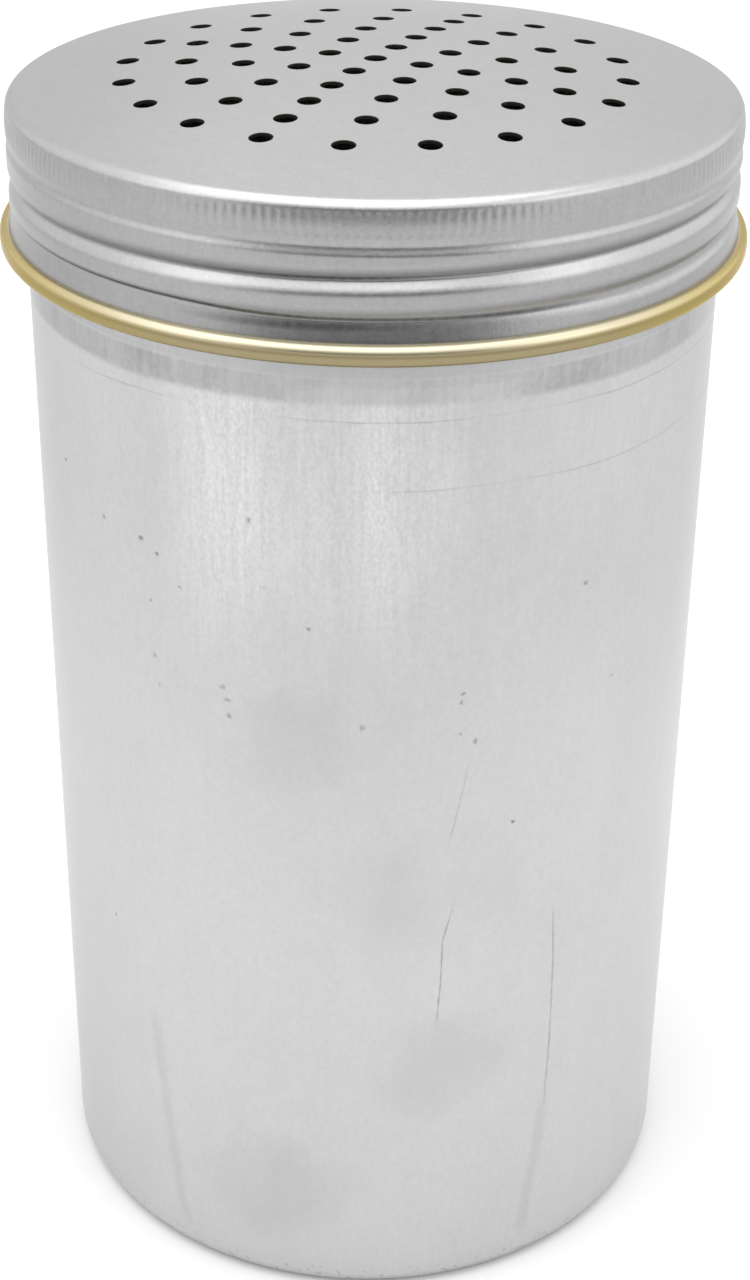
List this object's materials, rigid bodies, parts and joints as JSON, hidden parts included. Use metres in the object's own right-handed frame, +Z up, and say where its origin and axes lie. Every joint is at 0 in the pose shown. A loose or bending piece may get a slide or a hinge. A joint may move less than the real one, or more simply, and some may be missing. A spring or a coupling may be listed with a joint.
{
  "type": "restaurant spice shaker dispenser",
  "caption": "Straight-sided aluminium shaker can with a screw-on perforated dome lid and a gold-coloured curled hem, for sprinkling dry spices.",
  "frame": {"origin": "centre of the base, on the surface that the shaker stands on", "axes": "+Z up along the can's axis, from the base to the domed lid; the picture looks along +Y, with +X to its right"},
  "size_m": [0.086, 0.086, 0.147],
  "materials": {
    "can_aluminium": "drawn bare aluminium, satin, with fine upright draw marks",
    "lid_aluminium": "pressed bare aluminium sheet, satin",
    "gold_lacquer": "gold lacquered aluminium sheet, semi-gloss",
    "seal_foam": "off-white soft sealing ring, matt"
  },
  "bodies": {
    "can": {"can_body": "can_aluminium"},
    "seal": {"sealing_ring": "seal_foam"},
    "lid": {"lid_shell": "lid_aluminium", "lid_hem": "gold_lacquer"}
  },
  "joints": [
    {"name": "lid_lift", "type": "slide", "parent": "can", "child": "seal", "axis": [0, 0, 1], "range_m": [0, 0.017]},
    {"name": "lid_turn", "type": "hinge", "parent": "seal", "child": "lid", "pos_m": [0, 0, 0.14], "axis": [0, 0, 1], "range_deg": [0, 1440]}
  ],
  "couplings": [
    {"joint": "lid_lift", "follows": "lid_turn", "m_per_rad": 0.00067323}
  ]
}
